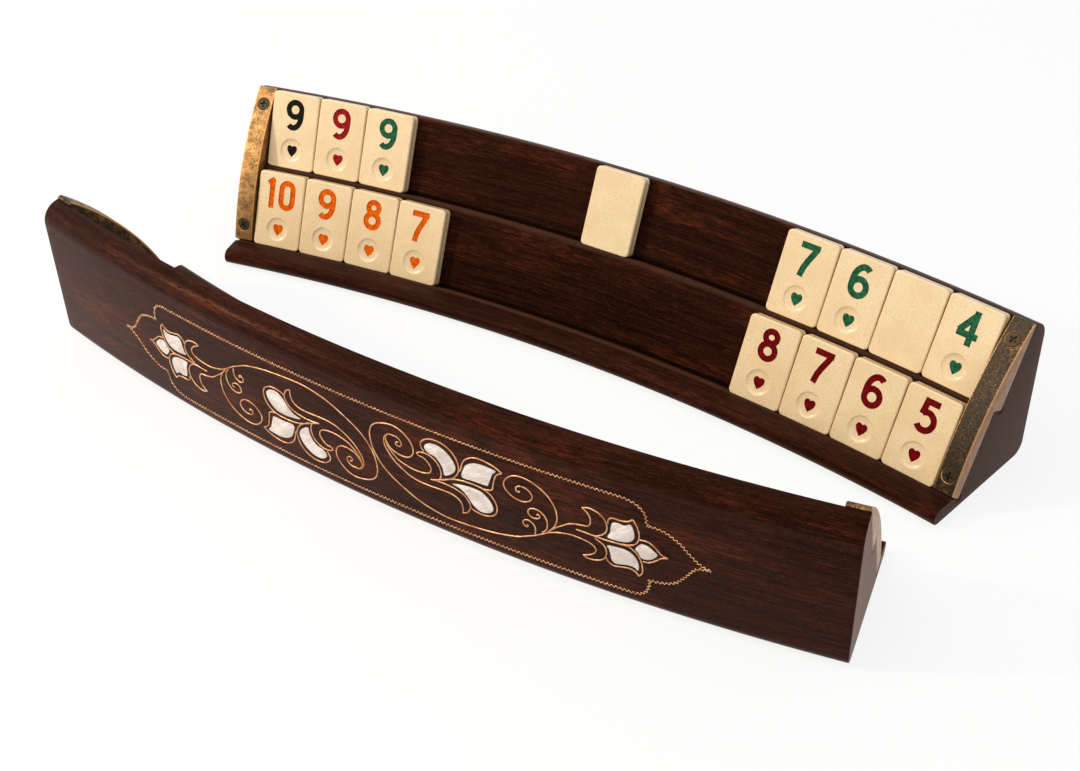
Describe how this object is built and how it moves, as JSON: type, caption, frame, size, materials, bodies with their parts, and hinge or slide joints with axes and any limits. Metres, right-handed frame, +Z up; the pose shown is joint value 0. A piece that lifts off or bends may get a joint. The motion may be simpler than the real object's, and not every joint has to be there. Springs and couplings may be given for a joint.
{
  "type": "rummy tile rack pair",
  "caption": "Pair of curved two-tier wooden rummy tile racks with brass end bars, an inlaid back and loose cream number tiles.",
  "frame": {"origin": "on the table under the middle of the bounding box of both racks", "axes": "+X along the racks to the right of a player facing the rear rack's tiles, +Y from the front rack to the rear rack, +Z up"},
  "size_m": [0.405, 0.1878, 0.0725],
  "materials": {
    "dark_wood": "satin lacquer over dark brown wood",
    "end_wood": "flat matte end grain",
    "inner_wood": "plain unfinished wood",
    "antique_brass": "aged, dark patina with bright worn edges",
    "dark_screw": "blackened",
    "tile_plastic": "cream, soft gloss",
    "copper_wire": "copper-coloured wire, satin",
    "pearl": "mother-of-pearl",
    "felt": "felt"
  },
  "bodies": {
    "rear_rack": {"rear_front_rail": "dark_wood", "rear_lower_tier": "dark_wood", "rear_upper_tier": "dark_wood", "rear_back_panel": "dark_wood", "rear_base_board": "inner_wood", "rear_ribs": "inner_wood", "rear_left_cheek": "end_wood", "rear_right_cheek": "end_wood", "rear_left_bar": "antique_brass", "rear_right_bar": "antique_brass", "rear_bar_screws": "dark_screw", "rear_wire_inlay": "copper_wire", "rear_pearl_inlay": "pearl", "rear_felt_pads": "felt"},
    "front_rack": {"front_front_rail": "dark_wood", "front_lower_tier": "dark_wood", "front_upper_tier": "dark_wood", "front_back_panel": "dark_wood", "front_base_board": "inner_wood", "front_ribs": "inner_wood", "front_left_cheek": "end_wood", "front_right_cheek": "end_wood", "front_left_bar": "antique_brass", "front_right_bar": "antique_brass", "front_bar_screws": "dark_screw", "front_wire_inlay": "copper_wire", "front_pearl_inlay": "pearl", "front_felt_pads": "felt"},
    "tile_black_9_piece": {"tile_black_9": "tile_plastic"},
    "tile_red_9_piece": {"tile_red_9": "tile_plastic"},
    "tile_green_9_piece": {"tile_green_9": "tile_plastic"},
    "tile_orange_10_piece": {"tile_orange_10": "tile_plastic"},
    "tile_orange_9_piece": {"tile_orange_9": "tile_plastic"},
    "tile_orange_8_piece": {"tile_orange_8": "tile_plastic"},
    "tile_orange_7_piece": {"tile_orange_7": "tile_plastic"},
    "tile_blank_left_piece": {"tile_blank_left": "tile_plastic"},
    "tile_green_7_piece": {"tile_green_7": "tile_plastic"},
    "tile_green_6_piece": {"tile_green_6": "tile_plastic"},
    "tile_blank_right_piece": {"tile_blank_right": "tile_plastic"},
    "tile_green_4_piece": {"tile_green_4": "tile_plastic"},
    "tile_red_8_piece": {"tile_red_8": "tile_plastic"},
    "tile_red_7_piece": {"tile_red_7": "tile_plastic"},
    "tile_red_6_piece": {"tile_red_6": "tile_plastic"},
    "tile_red_5_piece": {"tile_red_5": "tile_plastic"}
  },
  "joints": [
    {"name": "front_rack_slide", "type": "slide", "parent": "rear_rack", "child": "front_rack", "axis": [0, -1, 0], "range_m": [0, 0.15]},
    {"name": "lift_tile_black_9", "type": "slide", "parent": "rear_rack", "child": "tile_black_9_piece", "axis": [-0.0803, 0.4309, 0.8988], "range_m": [0, 0.03]},
    {"name": "lift_tile_red_9", "type": "slide", "parent": "rear_rack", "child": "tile_red_9_piece", "axis": [-0.0686, 0.433, 0.8988], "range_m": [0, 0.03]},
    {"name": "lift_tile_green_9", "type": "slide", "parent": "rear_rack", "child": "tile_green_9_piece", "axis": [-0.0568, 0.4347, 0.8988], "range_m": [0, 0.03]},
    {"name": "lift_tile_orange_10", "type": "slide", "parent": "rear_rack", "child": "tile_orange_10_piece", "axis": [-0.0802, 0.431, 0.8988], "range_m": [0, 0.03]},
    {"name": "lift_tile_orange_9", "type": "slide", "parent": "rear_rack", "child": "tile_orange_9_piece", "axis": [-0.0682, 0.433, 0.8988], "range_m": [0, 0.03]},
    {"name": "lift_tile_orange_8", "type": "slide", "parent": "rear_rack", "child": "tile_orange_8_piece", "axis": [-0.0561, 0.4348, 0.8988], "range_m": [0, 0.03]},
    {"name": "lift_tile_orange_7", "type": "slide", "parent": "rear_rack", "child": "tile_orange_7_piece", "axis": [-0.0439, 0.4362, 0.8988], "range_m": [0, 0.03]},
    {"name": "lift_tile_blank_left", "type": "slide", "parent": "rear_rack", "child": "tile_blank_left_piece", "axis": [0, 0.4384, 0.8988], "range_m": [0, 0.03]},
    {"name": "lift_tile_green_7", "type": "slide", "parent": "rear_rack", "child": "tile_green_7_piece", "axis": [0.045, 0.4361, 0.8988], "range_m": [0, 0.03]},
    {"name": "lift_tile_green_6", "type": "slide", "parent": "rear_rack", "child": "tile_green_6_piece", "axis": [0.0568, 0.4347, 0.8988], "range_m": [0, 0.03]},
    {"name": "lift_tile_blank_right", "type": "slide", "parent": "rear_rack", "child": "tile_blank_right_piece", "axis": [0.0686, 0.433, 0.8988], "range_m": [0, 0.03]},
    {"name": "lift_tile_green_4", "type": "slide", "parent": "rear_rack", "child": "tile_green_4_piece", "axis": [0.0803, 0.4309, 0.8988], "range_m": [0, 0.03]},
    {"name": "lift_tile_red_8", "type": "slide", "parent": "rear_rack", "child": "tile_red_8_piece", "axis": [0.0439, 0.4362, 0.8988], "range_m": [0, 0.03]},
    {"name": "lift_tile_red_7", "type": "slide", "parent": "rear_rack", "child": "tile_red_7_piece", "axis": [0.0561, 0.4348, 0.8988], "range_m": [0, 0.03]},
    {"name": "lift_tile_red_6", "type": "slide", "parent": "rear_rack", "child": "tile_red_6_piece", "axis": [0.0682, 0.433, 0.8988], "range_m": [0, 0.03]},
    {"name": "lift_tile_red_5", "type": "slide", "parent": "rear_rack", "child": "tile_red_5_piece", "axis": [0.0802, 0.431, 0.8988], "range_m": [0, 0.03]}
  ]
}
